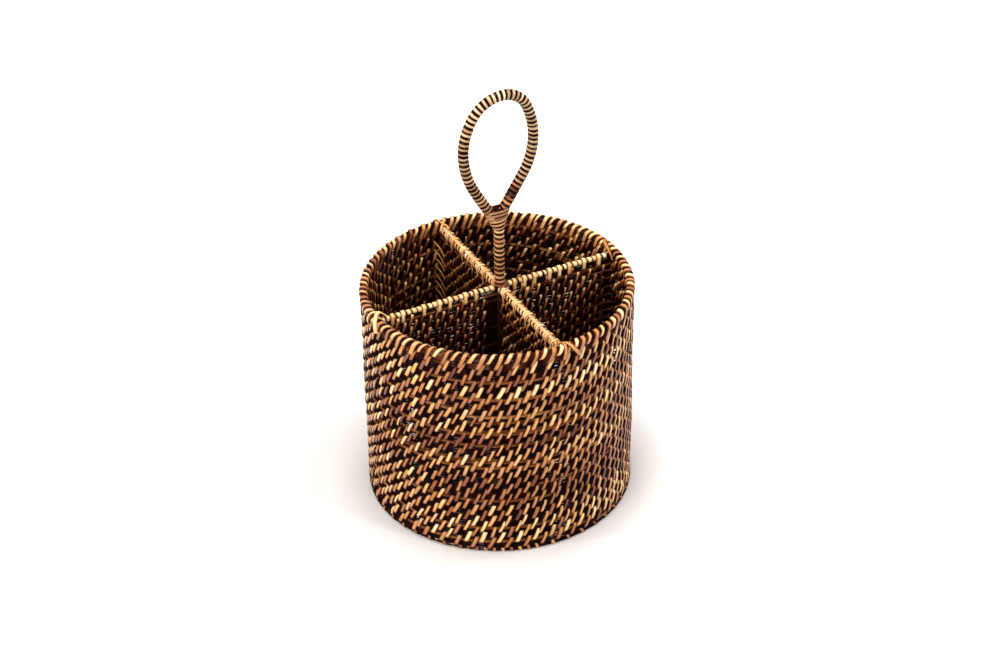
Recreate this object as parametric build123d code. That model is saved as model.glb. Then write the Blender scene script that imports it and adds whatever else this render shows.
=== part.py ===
from build123d import *
import math
import os

# Round caddy of coiled rattan: a coiled wall and floor, two crossing dividers and a loop handle on a post.
# Frame: +Z up, origin on the surface below the middle of the floor, X along the cross divider,
# Y along the main divider, lengths in millimetres.

# Body
wall_diameter = 177.0
body_height = 153.5
core_diameter = 3.8
row_gap = 0.55
foot_flat = 0.5
floor_eye_radius = 3.2
splice_gap = 0.5

# Rim
rim_rod_diameter = 3.5

# Dividers and rails
main_rail_diameter = 3.3
cross_rail_diameter = 2.3
rail_drop = 3.3
post_offset = 2.0

# Handle: heights above the ground, reaches to either side of the post's axis, rises above the straight post,
# and shares of the height from the straight post to the top at which the loop is widest
handle_rod_diameter = 4.2
overall_height = 289.5
post_straight_height = 190.0
neck_bend_radius = 18.0
loop_left_reach = 24.0
loop_left_height_share = 0.613
loop_right_reach = 25.2
loop_right_height_share = 0.638
loop_top_offset = 3.5
loop_end_offset = 1.6
loop_end_rise = 12.6

# Cane wrapping
cane_diameter = 1.2
neck_start_rise = 1.5
neck_length = 13.5
neck_shift = 1.5
neck_width = 19.2
neck_depth = 9.0
leg_clear_length = 8.5
post_turn_spacing = 2.9
loop_turn_spacing = 2.4
rail_end_length = 3.0

# Clearances
seat_clearance = 0.3
wrap_clearance = 0.1

# Counts and angles
wall_strands = ["lower", "middle", "upper"]
rim_quarters = ["back_right", "back_left", "front_left", "front_right"]
loop_strands = ["left_low", "left_high", "right_high", "right_low"]
rim_turns = 24
cross_rail_turns = 20
main_rail_turns = 24
neck_turns = 5
samples_per_arc = 2
steps_per_quarter = 24
coil_start_angle = 110.0
neck_lean_angle = 33.0
quarter_turn = 90.0

# Sizes that follow from those above
core_radius = core_diameter / 2
cane_radius = cane_diameter / 2
rim_rod_radius = rim_rod_diameter / 2
handle_radius = handle_rod_diameter / 2
wrap_build = wrap_clearance + cane_diameter
row_pitch = core_diameter + row_gap
wall_radius = wall_diameter / 2 - core_radius
wall_inner_radius = wall_radius - core_radius
floor_height = core_radius - foot_flat
floor_top = floor_height + core_radius
rim_reach = rim_rod_radius + wrap_build
rim_height = body_height - rim_reach
rim_inner_radius = wall_radius - rim_reach
rail_top_height = body_height - rail_drop
neck_start_height = post_straight_height + neck_start_rise
neck_end_height = neck_start_height + neck_length

# The lowest row stands out and up from the floor's last loop, one row away at 45 degrees
first_row_height = floor_height + row_pitch * math.sin(math.radians(quarter_turn / 2))
floor_radius = wall_radius - row_pitch * math.cos(math.radians(quarter_turn / 2))
top_row_limit = rim_height - rim_reach - seat_clearance - core_radius
wall_rows = int((top_row_limit - first_row_height) / row_pitch) + 1
wall_pitch = (top_row_limit - first_row_height) / (wall_rows - 1)


def biarc(start, start_way, end, end_way):
    """Two tangent arcs from one point and direction to another."""
    across = end - start
    ways = start_way + end_way
    turn = 1 - start_way.dot(end_way)
    along = across.dot(ways)
    if turn < 1e-9:
        reach = across.dot(across) / (2 * along)
    else:
        reach = (math.sqrt(along**2 + 2 * turn * across.dot(across)) - along) / (2 * turn)
    middle = (start + end + (start_way - end_way) * reach) * 0.5
    middle_way = (end - end_way * reach - start - start_way * reach).normalized()
    return [Edge.make_tangent_arc(start, start_way, middle),
            Edge.make_tangent_arc(middle, middle_way, end)]


def biarc_path(points, ways):
    """Edges through the points, each leaving and arriving in the given directions."""
    edges = []
    for i in range(len(points) - 1):
        edges += biarc(points[i], ways[i], points[i + 1], ways[i + 1])
    return edges


def print_gap(name, edges, diameter, turn_length):
    """Measure on points how near the turns of one tube come to each other."""
    points = []
    travelled = []
    done = 0
    for edge in edges:
        for i in range(samples_per_arc):
            points.append(tuple(edge.position_at(i / samples_per_arc)))
            travelled.append(done + edge.length * i / samples_per_arc)
        done += edge.length
    least = min(math.dist(points[i], points[j])
                for i in range(len(points)) for j in range(i)
                if travelled[i] - travelled[j] > turn_length / 2)
    print(f"{name}: least gap to itself {least - diameter:.2f}")


def tube(name, edges, diameter, turn_length):
    """A round tube along the edges, with its gap and volume printed."""
    path = Wire(edges)
    start = Plane(origin=edges[0].position_at(0), z_dir=edges[0].tangent_at(0))
    solid = sweep(start * Circle(diameter / 2), path=path, clean=False)
    share = solid.volume / (math.pi * (diameter / 2)**2 * path.length)
    print_gap(name, edges, diameter, turn_length)
    print(f"{name}: length {path.length:.0f}, volume share {share:.4f}")
    return solid


def coil_point(quarters):
    """Point of the wall's coil: level for three quarters of a turn, then up one row in the fourth."""
    angle = math.radians(coil_start_angle + quarter_turn * quarters)
    height = first_row_height + wall_pitch * (int(quarters) // 4)
    return Vector(wall_radius * math.cos(angle), wall_radius * math.sin(angle), height)


def coil_way(quarters):
    angle = math.radians(coil_start_angle + quarter_turn * quarters)
    return Vector(-math.sin(angle), math.cos(angle), 0)


def wall_coil(name, first_row, last_row):
    """Some rows of the wall, as one unbroken core."""
    splice = splice_gap / (wall_radius * math.radians(quarter_turn))
    last_quarter = 4 * last_row
    if last_row == wall_rows:
        last_quarter -= 1
    stops = [4 * first_row + splice] + list(range(4 * first_row + 1, last_quarter + 1))
    edges = biarc_path([coil_point(q) for q in stops], [coil_way(q) for q in stops])
    return tube(name, edges, core_diameter, 2 * math.pi * wall_radius)


def floor_coil():
    """A flat spiral of half turns, rubbed flat underneath."""
    halves = int((floor_radius - floor_eye_radius) / (row_pitch / 2))
    points = []
    ways = []
    for k in range(halves + 1):
        side = (-1)**k
        reach = floor_radius - (halves - k) * row_pitch / 2
        points.append(Vector(side * reach, 0, floor_height))
        ways.append(Vector(0, side, 0))
    edges = biarc_path(points, ways)
    section = Circle(core_radius) - Pos(0, -core_diameter + foot_flat) * Rectangle(core_diameter * 2, core_diameter)
    start = Plane(origin=points[0], x_dir=(1, 0, 0), z_dir=ways[0])
    if start.y_dir.Z < 0:
        start = Plane(origin=points[0], x_dir=(-1, 0, 0), z_dir=ways[0])
    path = Wire(edges)
    print_gap("floor_coil", edges, core_diameter, 2 * math.pi * row_pitch)
    return sweep(start * section, path=path, clean=False)


def winding_point(guide, side_way, place, angle, reach, side_reach):
    """Point at an angle round the guide, at a length along it."""
    middle = guide.position_at(place, PositionMode.LENGTH)
    along = guide.tangent_at(place, PositionMode.LENGTH)
    out = side_way.cross(along)
    return middle + out * (reach * math.cos(angle)) + side_way * (side_reach * math.sin(angle))


def winding(name, guide, side_way, start, end, turns, reach, end_reaches=None):
    """Cane wound round a guide from one length to another, with straight ends one cane long."""
    wide_end, deep_end = end_reaches or (reach, reach)

    def place(quarters):
        share = quarters / (4 * turns)
        angle = quarters * math.radians(quarter_turn)
        wide = reach + (wide_end - reach) * share
        deep = reach + (deep_end - reach) * share
        return winding_point(guide, side_way, start + (end - start) * share, angle, wide, deep)

    step = 1 / steps_per_quarter
    stops = range(4 * turns + 1)
    points = [place(q) for q in stops]
    ways = [(place(q + step) - place(q - step)).normalized() for q in stops]
    edges = biarc_path(points, ways)
    lead_in = Edge.make_line(points[0] - ways[0] * cane_diameter, points[0])
    lead_out = Edge.make_line(points[-1], points[-1] + ways[-1] * cane_diameter)
    return tube(name, [lead_in] + edges + [lead_out], cane_diameter, 2 * math.pi * reach)


def rod(start, end, diameter):
    """A straight round rod between two points."""
    plane = Plane(origin=start, z_dir=end - start)
    upright = (Align.CENTER, Align.CENTER, Align.MIN)
    return plane * Cylinder(diameter / 2, (end - start).length, align=upright)


def divider_ends(way, diameter, outer_radius):
    """Inner and outer end of a straight piece that runs from the post to the wall."""
    middle = Vector(post_offset, 0, 0)
    from_axis = middle.dot(way)
    outer = math.sqrt((outer_radius - seat_clearance)**2 - (diameter / 2)**2)
    return middle + way * (handle_radius + seat_clearance), middle + way * (outer - from_axis)


def rail(way, diameter):
    inner, outer = divider_ends(way, diameter + 2 * wrap_build, rim_inner_radius)
    lift = Vector(0, 0, rail_top_height - wrap_build - diameter / 2)
    return inner + lift, outer + lift


def divider_cores(way, rail_diameter):
    """The straight cores of one divider panel, from the floor up to its rail."""
    inner, outer = divider_ends(way, core_diameter, wall_inner_radius)
    low = floor_top + seat_clearance + core_radius
    high = rail_top_height - rail_diameter - 2 * wrap_build - seat_clearance - core_radius
    rows = int((high - low) / row_pitch) + 1
    pitch = (high - low) / (rows - 1)
    lifts = [Vector(0, 0, low + pitch * i) for i in range(rows)]
    return Compound(children=[rod(inner + lift, outer + lift, core_diameter) for lift in lifts])


def handle_path():
    """The post's axis and the loop that it bends into, in the plane of the cross divider."""

    def at(offset, height):
        return Vector(post_offset + offset, 0, height)

    lean = math.radians(neck_lean_angle)
    up = Vector(0, 0, 1)
    right = Vector(1, 0, 0)
    foot = at(0, floor_top + seat_clearance)
    post_top = at(0, post_straight_height)
    leg = at(neck_bend_radius * (math.cos(lean) - 1), post_straight_height + neck_bend_radius * math.sin(lean))
    leg_way = up * math.cos(lean) - right * math.sin(lean)
    loop_rise = overall_height - post_straight_height
    left = at(-loop_left_reach, post_straight_height + loop_rise * loop_left_height_share)
    top = at(loop_top_offset, overall_height - wrap_build - handle_radius)
    far = at(loop_right_reach, post_straight_height + loop_rise * loop_right_height_share)
    loop_end = at(loop_end_offset, post_straight_height + loop_end_rise)
    end_way = up * -math.cos(lean) - right * math.sin(lean)
    post = [Edge.make_line(foot, post_top), Edge.make_tangent_arc(post_top, up, leg)]
    loop = biarc_path([leg, left, top, far, loop_end], [leg_way, up, right, up * -1, end_way])
    return post, loop


nodes = {}

# Floor and wall
nodes["floor_coil"] = floor_coil()
rows_each = math.ceil(wall_rows / len(wall_strands))
for i, strand in enumerate(wall_strands):
    name = f"wall_coil_{strand}"
    nodes[name] = wall_coil(name, i * rows_each, min((i + 1) * rows_each, wall_rows))

# Rim
up_way = Vector(0, 0, 1)
nodes["rim_hoop"] = Pos(0, 0, rim_height) * Torus(wall_radius, rim_rod_radius)
rim_guide = Pos(0, 0, rim_height) * Edge.make_circle(wall_radius)
rim_stretch = rim_guide.length / len(rim_quarters)
for i, quarter in enumerate(rim_quarters):
    name = f"rim_wrap_{quarter}"
    start = rim_stretch * i + 2 * cane_diameter
    end = rim_stretch * (i + 1) - 2 * cane_diameter
    nodes[name] = winding(name, rim_guide, up_way, start, end, rim_turns,
                          rim_rod_radius + wrap_clearance + cane_radius)

# Dividers, rails and their wrapping
dividers = {"right": (Vector(1, 0, 0), cross_rail_diameter, cross_rail_turns),
            "left": (Vector(-1, 0, 0), cross_rail_diameter, cross_rail_turns),
            "back": (Vector(0, 1, 0), main_rail_diameter, main_rail_turns),
            "front": (Vector(0, -1, 0), main_rail_diameter, main_rail_turns)}
for side, (way, diameter, turns) in dividers.items():
    inner, outer = rail(way, diameter)
    guide = Edge.make_line(inner, outer)
    name = f"rail_wrap_{side}"
    nodes[f"divider_cores_{side}"] = divider_cores(way, diameter)
    nodes[f"rail_{side}"] = rod(inner, outer, diameter)
    nodes[name] = winding(name, guide, up_way, rail_end_length, guide.length - rail_end_length, turns,
                          diameter / 2 + wrap_clearance + cane_radius)

# Handle: one rod, bent into post and loop
post_edges, loop_edges = handle_path()
handle = Wire(post_edges + loop_edges)
handle_start = Plane(origin=handle.position_at(0), z_dir=(0, 0, 1))
nodes["handle_rod"] = sweep(handle_start * Circle(handle_radius), path=handle, clean=False)
side_way = Vector(0, 1, 0)
wrap_reach = handle_radius + wrap_clearance + cane_radius
foot_height = handle.position_at(0).Z

# Handle wrapping: the post, the neck and the loop
post_axis = post_edges[0]
post_start = rail_top_height + seat_clearance + cane_radius - foot_height
post_end = neck_start_height - cane_diameter - seat_clearance - foot_height
post_turns = int((post_end - post_start) / post_turn_spacing)
nodes["post_wrap"] = winding("post_wrap", handle, side_way, post_start, post_end, post_turns, wrap_reach)
neck_start = Vector(post_offset, 0, neck_start_height)
neck_end = Vector(post_offset - neck_shift, 0, neck_end_height)
neck_axis = Edge.make_line(neck_start, neck_end)
nodes["neck_binding"] = winding("neck_binding", neck_axis, side_way, 0, neck_axis.length, neck_turns,
                                wrap_reach + seat_clearance,
                                (neck_width / 2 - cane_radius, neck_depth / 2 - cane_radius))
loop_start = sum(edge.length for edge in post_edges) + leg_clear_length
loop_length = handle.length - leg_clear_length - loop_start
for i, strand in enumerate(loop_strands):
    name = f"loop_wrap_{strand}"
    start = loop_start + loop_length * i / len(loop_strands) + cane_diameter
    end = loop_start + loop_length * (i + 1) / len(loop_strands) - cane_diameter
    loop_turns = int((end - start) / loop_turn_spacing)
    nodes[name] = winding(name, handle, side_way, start, end, loop_turns, wrap_reach)

os.makedirs("parts", exist_ok=True)
for name, solid in nodes.items():
    export_step(solid, f"parts/{name}.step")
print(f"post turns {post_turns}, loop turns {loop_turns} a strand")
print(f"wall rows {wall_rows}, pitch {wall_pitch:.2f}")
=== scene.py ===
import math
import bpy
import numpy as np
from mathutils import Matrix, Vector


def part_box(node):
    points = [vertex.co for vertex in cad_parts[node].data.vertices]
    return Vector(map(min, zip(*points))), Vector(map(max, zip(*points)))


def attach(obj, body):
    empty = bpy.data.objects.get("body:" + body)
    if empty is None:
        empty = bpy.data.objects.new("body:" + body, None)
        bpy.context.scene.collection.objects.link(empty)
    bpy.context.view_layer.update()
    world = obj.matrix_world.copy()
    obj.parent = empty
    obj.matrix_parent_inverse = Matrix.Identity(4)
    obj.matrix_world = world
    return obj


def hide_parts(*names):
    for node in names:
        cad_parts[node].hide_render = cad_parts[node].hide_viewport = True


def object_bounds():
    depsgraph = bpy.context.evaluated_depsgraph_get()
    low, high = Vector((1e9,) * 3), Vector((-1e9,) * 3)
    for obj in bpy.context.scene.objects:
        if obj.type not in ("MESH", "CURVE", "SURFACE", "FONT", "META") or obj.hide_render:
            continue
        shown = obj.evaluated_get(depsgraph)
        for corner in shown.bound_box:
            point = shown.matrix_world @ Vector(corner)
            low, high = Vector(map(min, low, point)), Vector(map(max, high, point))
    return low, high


# Round caddy of coiled rattan, lashed with split cane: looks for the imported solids, in metres.
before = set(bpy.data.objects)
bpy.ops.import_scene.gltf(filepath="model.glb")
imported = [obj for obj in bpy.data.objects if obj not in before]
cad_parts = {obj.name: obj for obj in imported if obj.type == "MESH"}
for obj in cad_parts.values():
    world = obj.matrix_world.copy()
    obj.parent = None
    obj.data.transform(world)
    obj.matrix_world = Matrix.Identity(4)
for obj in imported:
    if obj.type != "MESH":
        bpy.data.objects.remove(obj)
cad_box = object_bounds()
MM = 0.001
SEED = 11
chance = np.random.default_rng(SEED)

# Sizes read from the frame
core = (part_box("divider_cores_left")[1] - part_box("divider_cores_left")[0]).y
coil_low, coil_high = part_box("wall_coil_lower")[0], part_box("wall_coil_upper")[1]
hoop_low, hoop_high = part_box("rim_hoop")
wall_radius = (coil_high.x - coil_low.x - core) / 2
first_row = coil_low.z + core / 2
top_row = coil_high.z - core / 2
rim_height = (hoop_low.z + hoop_high.z) / 2
post_x = (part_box("post_wrap")[0].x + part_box("post_wrap")[1].x) / 2

# Coil: counts and angles as in the solids
WALL_ROWS = 33
COIL_START = math.radians(110)
LASHES_PER_TURN = 49.5
pitch = (top_row - first_row) / (WALL_ROWS - 1)
lead = 2 * math.pi * wall_radius / LASHES_PER_TURN

# Cane: its section, and the tones along a strap, with a painted highlight at its top and painted shade at its
# foot and on its inward side
CANE_THICK = 0.62 * MM
CANE_WIDTH = 2.75 * MM
CANE_CROWN = 0.78
TOP_PAINTED_LIGHT = 0.08
PAINTED_LIGHT_START = 0.2
FOOT_PAINTED_SHADE = 1.0
FOOT_SHADE_START = 0.52
STRAP_INSIDE_SHADE = 0.1
STRAP_BLUSH = 0.45
STRAP_SQUARENESS = 0.65
STRAP_CORNERS = 4
STITCH_TUCK = 0.95
LENGTH_STITCHES = (5, 26)
TONE_SPREAD = 0.07
SMOOTH_ANGLE = math.radians(50)

# Wall: strands, stitches (mean, spread and limits of their slant) and unevenness
# Painted shade on the inward side of the wall's straps, and more of it further down inside the caddy
INNER_PAINTED_SHADE = 0.36
DEEPER_PAINTED_SHADE = 0.2
STRAND_STEPS = 84
STRAND_SIDES = 8
STRAND_GRAIN = 40
STRAND_SWAY = ((0.12 * MM, 61, 4000), (0.08 * MM, 173, 0))
STRAND_SWELL = ((0.1, 97, 9000), (0.08, 211, 0))
CORE_FILL_SHARE = 0.47
CORE_SHIFT_SHARE = 0.25
CORE_HALF_SHARE = 0.3
CORE_DARKEST = 0.05
CORE_DARK = 0.3
CORE_RUSTY = 0.6
CORE_LENGTHS_PER_TURN = 4
RUSTY_SHARES = {"under": 0.08, "over": 0.3}
WALL_RUSTIEST = 0.92
TOP_ROW_TURNS = 1.1
TOP_ROW_TONE = 0.45
TOP_ROW_MOTTLE = 0.25
TOP_ROW_PATCHES = 150
SHAVED_TURN = 0.25
SHAVED_SHARE = 0.12
LEVEL_SHARE = 0.75
WALL_BANDS = 5
WALL_TONES = (0.34, 0.9)
WALL_WIDTHS = (0.8, 1.2, 0.08)
WALL_WIDTH_LIMITS = (0.65, 1.35)
WALL_SLANTS = (0.82, 0.09, 0.55, 1.05)
STITCH_JITTER = 0.0011
WALL_WAVES = ((0.35 * MM, 2, 0.6, 0.0), (0.22 * MM, 5, 0.0, 0.35), (0.16 * MM, 11, 0.0, 1.3))

# Floor
FLOOR_EYE = 3.2 * MM
FLOOR_START = math.pi
FLOOR_SPACING_SHARE = 1.145
FLOOR_HALF_SHARE = 0.54
FLOOR_SINK = 0.5 * MM
FLOOR_TIGHTEST = 6 * MM
FLOOR_GRAIN = 20
FLOOR_RUSTIEST = 0.9
FLOOR_RUSTY_SHARE = 0.2
FLOOR_FIRST_STITCH = 1.2
FLOOR_TONES = (0.35, 0.8)
FLOOR_WIDTHS = (1, 0.12, 0.7, 1.3)
FLOOR_SLANT_SHARE = 0.8

# Divider panels
PANEL_ROWS = 32
PANEL_RINGS = 12
PANEL_GRAIN = 6
PANEL_SWAY = ((0.15 * MM, 9, 900),)
PANEL_DARK = (0.05, 0.35)
PANEL_RUST = (0.5, 0.68)
PANEL_RUSTY_SHARE = 0.12
PANEL_SPACING_SHARE = 0.86
PANEL_SLANT_SHARE = 0.65
PANEL_FIRST_SHARE = 0.35
PANEL_JITTER = 0.5 * MM
PANEL_MARGIN = 2 * MM
PANEL_WIDTHS = (0.82, 0.15, 0.5, 1.3)
# Painted highlight on the tops of the panel stitches, and painted shade that grows towards the floor
PANEL_TOP_PAINTED_LIGHT = 0.5
PANEL_DEPTH_SHADE = 0.25
PANEL_TONES = {"right": (0.12, 0.48), "left": (0.08, 0.36), "back": (0.1, 0.4), "front": (0.12, 0.45)}

# Handle, as in the solids
POST_STRAIGHT = 190 * MM
NECK_BEND = 18 * MM
NECK_LEAN = math.radians(33)
LOOP_LEFT = 24 * MM
LOOP_LEFT_SHARE = 0.613
LOOP_RIGHT = 25.2 * MM
LOOP_RIGHT_SHARE = 0.638
LOOP_TOP = 3.5 * MM
LOOP_END = 1.6 * MM
LOOP_END_RISE = 12.6 * MM


def deselect():
    """Nothing selected, object mode, so that the next operator acts on its own piece alone."""
    if bpy.context.object and bpy.context.object.mode != "OBJECT":
        bpy.ops.object.mode_set(mode="OBJECT")
    bpy.ops.object.select_all(action="DESELECT")


def mesh_arrays(piece):
    """Corner places and faces of a piece, as arrays, and the piece itself removed."""
    mesh = piece.data
    places = np.zeros(len(mesh.vertices) * 3)
    mesh.vertices.foreach_get("co", places)
    faces = [tuple(face.vertices) for face in mesh.polygons]
    bpy.data.objects.remove(piece)
    return places.reshape(-1, 3), faces


def screwed(piece, axis, angle, length, steps):
    """A section led along an axis and round it by a Screw modifier: corner places and faces."""
    screw = piece.modifiers.new("screw", "SCREW")
    screw.axis = axis
    screw.angle = angle
    screw.screw_offset = length
    screw.steps = screw.render_steps = steps
    screw.use_merge_vertices = False
    bpy.ops.object.modifier_apply(modifier="screw")
    return mesh_arrays(piece)


def round_shares(sides, rings):
    """How far round the section each corner of a tube lies, ring after ring."""
    return np.tile(np.arange(sides) / sides, rings)


def finished(name, places, faces, tone, flat, material, replaced=(), blush=0.0):
    """One shown piece: mesh, tone, blush and flat coordinates, smooth faces, material, ride on the body."""
    mesh = bpy.data.meshes.new(name)
    mesh.from_pydata(places.tolist(), [], faces)
    mesh.attributes.new("tone", "FLOAT", "POINT").data.foreach_set("value", np.ravel(tone))
    rosy = np.ravel(blush) if np.ndim(blush) else np.full(len(places), blush)
    mesh.attributes.new("blush", "FLOAT", "POINT").data.foreach_set("value", rosy)
    corner_vertex = np.zeros(len(mesh.loops), dtype=int)
    mesh.loops.foreach_get("vertex_index", corner_vertex)
    mesh.uv_layers.new(name="flat").data.foreach_set("uv", np.ravel(flat[corner_vertex]))
    piece = bpy.data.objects.new(name, mesh)
    bpy.context.collection.objects.link(piece)
    deselect()
    piece.select_set(True)
    bpy.context.view_layer.objects.active = piece
    bpy.ops.object.mode_set(mode="EDIT")
    bpy.ops.mesh.select_all(action="SELECT")
    bpy.ops.mesh.normals_make_consistent(inside=False)
    bpy.ops.object.mode_set(mode="OBJECT")
    bpy.ops.object.shade_smooth_by_angle(angle=SMOOTH_ANGLE)
    piece.data.materials.append(material)
    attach(piece, "root")
    if replaced:
        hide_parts(*replaced)
    return piece


def copies(master, count):
    """Faces of many copies of one modelled piece, each with its own corners."""
    places, faces = master
    step = len(places)
    return [tuple(v + step * i for v in face) for i in range(count) for face in faces]


# Modelled once: a strap of cane round two cores, one above the other
def strap_master(radius, span, top_radius=None, arc_steps=3):
    """Cane strap that starts under the lower core, rises outside, passes over the upper core and returns."""
    top_radius = top_radius or radius
    deselect()
    foot = -radius - CANE_THICK / 2
    bpy.ops.mesh.primitive_plane_add(size=1, location=(0, 0, foot), rotation=(0, math.pi / 2, 0))
    piece = bpy.context.object
    piece.scale = (CANE_THICK, CANE_WIDTH, 1)
    bpy.ops.object.transform_apply(location=True, rotation=True, scale=True)
    for corner in piece.data.vertices:
        if corner.co.z < foot:
            corner.co.y *= CANE_CROWN
    bpy.ops.object.mode_set(mode="EDIT")
    bpy.ops.mesh.select_all(action="SELECT")
    bpy.ops.mesh.delete(type="ONLY_FACE")
    bpy.ops.mesh.select_all(action="SELECT")
    way = (0, 1, 0)
    wider = top_radius - radius
    quarter = math.pi / 2
    bpy.ops.mesh.spin(steps=arc_steps, angle=quarter, center=(0, 0, 0), axis=way)
    bpy.ops.mesh.extrude_region_move(TRANSFORM_OT_translate={"value": (wider, 0, span)})
    bpy.ops.mesh.spin(steps=2 * arc_steps, angle=2 * quarter, center=(0, 0, span), axis=way)
    bpy.ops.mesh.extrude_region_move(TRANSFORM_OT_translate={"value": (wider, 0, -span)})
    bpy.ops.mesh.spin(steps=arc_steps, angle=quarter, center=(0, 0, 0), axis=way)
    bpy.ops.mesh.select_all(action="SELECT")
    bpy.ops.mesh.fill_holes(sides=STRAP_CORNERS)
    bpy.ops.object.mode_set(mode="OBJECT")
    places, faces = mesh_arrays(piece)
    along = strap_travel(places, radius, span, top_radius)
    beyond = places[:, 2] - np.clip(places[:, 2], 0, span)
    reach = np.hypot(places[:, 0], beyond)
    places[:, 0] = np.sign(places[:, 0]) * reach * (np.abs(places[:, 0]) / reach) ** STRAP_SQUARENESS
    along[:STRAP_CORNERS] = 0
    along[-STRAP_CORNERS:] = 1
    return places, faces, along


def strap_travel(places, radius, span, top_radius):
    """Share of the strap's length at which each corner lies, from 0 under the lower core to 1."""
    x, z = places[:, 0], places[:, 2]
    low_arc = radius * math.pi / 2
    top_arc = top_radius * math.pi
    total = 2 * low_arc + 2 * span + top_arc
    low = radius * np.arctan2(np.abs(x), -z)
    high = low_arc + span + top_radius * np.arctan2(z - span, x) * np.where(z >= span, 1, 0)
    out = np.where(z < 0, low, np.where(z > span, high, low_arc + z))
    back = np.where(z < 0, total - low, np.where(z > span, high, low_arc + span + top_arc + span - z))
    return np.where((x >= 0) | (z > span), out, back) / total


def lash(name, master, frames, tones, widths, leads, replaced=(), taper=0.0, painted_light=TOP_PAINTED_LIGHT,
         inside_shade=STRAP_INSIDE_SHADE):
    """Many straps, their corners placed by frames(out, across, up): a painted highlight at the top, painted
    shade at the foot and on the inward side.
    """
    count = len(tones)
    places, faces, along = master
    out = np.tile(places[:, 0], (count, 1))
    up = np.tile(places[:, 2], (count, 1))
    height = (places[:, 2] - places[:, 2].min()) / np.ptp(places[:, 2]) * 2 - 1
    # Painted shade at the foot of each strap, where it dives under its core.
    foot = np.clip(-height - FOOT_SHADE_START, 0, 1)
    slim = places[:, 1] * (1 - taper * foot)
    across = slim[None, :] * widths[:, None] + (along[None, :] - 0.5) * leads[:, None]
    corners = frames(out, across, up).reshape(-1, 3)
    # Painted highlight on the top of each strap, where light from above falls.
    top = np.clip((height - PAINTED_LIGHT_START) / (1 - PAINTED_LIGHT_START), 0, 1)
    # Painted shade on the inward side of each strap, below its lit top.
    inside = (places[:, 0] < 0) * (1 - top)
    tone = tones[:, None] + (painted_light * top - FOOT_PAINTED_SHADE * foot)[None, :]
    tone = tone - np.broadcast_to(inside_shade, count)[:, None] * inside[None, :]
    blush = np.repeat(STRAP_BLUSH * chance.random(count) ** 2, len(places))
    travel = along[None, :] + np.arange(count)[:, None]
    flat = np.stack([travel, np.tile(places[:, 1] / CANE_WIDTH + 0.5, (count, 1))], axis=2)
    all_faces = copies((places, faces), count)
    return finished(name, corners, all_faces, tone, flat.reshape(-1, 2), cane, replaced, blush)


def tucked(up, span):
    """A stitch drawn in between the strands of its upper and lower row."""
    return span / 2 + (up - span / 2) * STITCH_TUCK


def by_length(count, low, high, spread):
    """A value for each strap: one length of cane after another, each with its own, and a little spread."""
    values = np.zeros(count)
    place = 0
    while place < count:
        length = int(chance.integers(*LENGTH_STITCHES))
        values[place:place + length] = chance.uniform(low, high)
        place += length
    return values + chance.normal(0, spread, count)


def strand_tones(count, low, high):
    """Tone of each strap, by length of cane."""
    return np.clip(by_length(count, low, high, TONE_SPREAD), 0, 1)


def varied(count, mean, spread, low, high):
    """A value for each strap: spread about a mean, within limits."""
    return np.clip(chance.normal(mean, spread, count), low, high)


def waves(course, shift, sizes):
    """Waves along a strand: each has a size, a count, and how far the strand's own place shifts it."""
    return sum(size * np.sin(course * count + shift * slide) for size, count, slide in sizes)


# The coil's course
def rise(turns):
    """Rows climbed: level for most of a turn, then up one row in the rest of it."""
    whole = np.floor(turns)
    climb = np.clip((turns - whole - LEVEL_SHARE) / (1 - LEVEL_SHARE), 0, 1)
    return whole + climb**2 * (3 - 2 * climb)


def uneven(angle, height):
    """How far the hand-made wall stands out of round; the waves turn a little from row to row."""
    level = height / pitch
    return sum(size * np.sin(count * angle + start + turn * level) for size, count, start, turn in WALL_WAVES)


def on_wall(turns, out, across, height):
    """Place on the wall: turns along the coil, out from its middle line, across along the row."""
    angle = COIL_START + 2 * math.pi * turns + across / wall_radius
    radius = wall_radius + out + uneven(angle, height)
    return np.stack([radius * np.cos(angle), radius * np.sin(angle), height], axis=-1)


# Finishes: shares and limits of the grain's noise, and colours by tone
FIBRE_SCALE = 9.0
FIBRE_STRETCH = (0.3, 1.0, 1.0)
FIBRE_DETAIL = 3.0
# Edges darkened partly as stain, partly as painted shade beside each strap
EDGE_RANGE = (0.26, 0.5)
CANE_GRAIN = 0.6
CANE_EDGE_STAIN_AND_SHADE = 0.6
CANE_ROUGHNESS = (0.22, 0.2)
CANE_SHINE = 0.22
CANE_BUMP = (0.35, 0.15 * MM)
CORE_GRAIN = 0.7
CORE_SHINE = 0.03
CORE_BUMP = (0.5, 0.2 * MM)
POLISH_RANGE = (0.54, 0.62)
POLISH_ROUGHNESS = (0.7, 0.1)
VARNISH_RANGE = (0.58, 0.63)
VARNISH_WEIGHTS = (0.0, 0.6)
VARNISH_ROUGHNESS = 0.12
GOLD = [(0.0, (0.025, 0.003, 0.001)), (0.2, (0.10, 0.014, 0.004)), (0.4, (0.25, 0.072, 0.020)),
        (0.6, (0.46, 0.185, 0.050)), (0.8, (0.70, 0.39, 0.13)), (1.0, (0.94, 0.72, 0.36))]
ROSE = [(0.0, (0.025, 0.006, 0.004)), (0.2, (0.11, 0.028, 0.014)), (0.4, (0.27, 0.095, 0.045)),
        (0.6, (0.47, 0.24, 0.12)), (0.8, (0.70, 0.45, 0.27)), (1.0, (0.92, 0.75, 0.52))]
STRAW = [(0.0, (0.025, 0.004, 0.001)), (0.2, (0.10, 0.025, 0.007)), (0.4, (0.25, 0.115, 0.040)),
         (0.6, (0.45, 0.315, 0.17)), (0.8, (0.68, 0.53, 0.33)), (1.0, (0.92, 0.80, 0.55))]
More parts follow.
